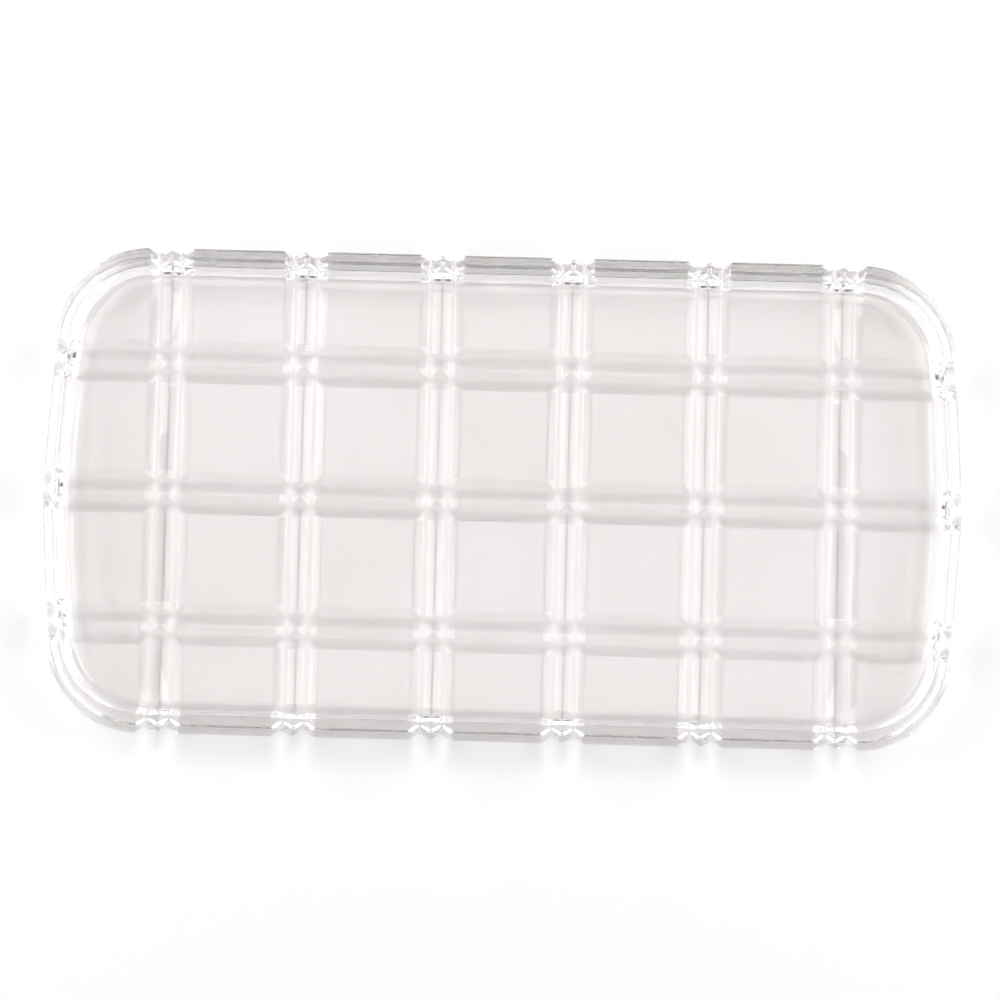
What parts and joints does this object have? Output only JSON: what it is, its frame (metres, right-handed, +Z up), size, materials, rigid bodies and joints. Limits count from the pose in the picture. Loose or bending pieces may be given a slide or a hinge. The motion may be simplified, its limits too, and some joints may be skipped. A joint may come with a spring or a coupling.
{
  "type": "glass serving tray",
  "caption": "Shallow clear glass serving tray, a rounded rectangle with bowed ends, a thick bevelled rim and a windowpane grid of paired flutes underneath.",
  "frame": {"origin": "middle of the tray's outline, on the plane its underside stands on", "axes": "+X along the tray's length, +Y across it, +Z up out of the open side"},
  "size_m": [0.3676, 0.192, 0.018],
  "materials": {
    "clear_glass": "polished"
  },
  "bodies": {
    "root": {"tray": "clear_glass"}
  },
  "joints": []
}
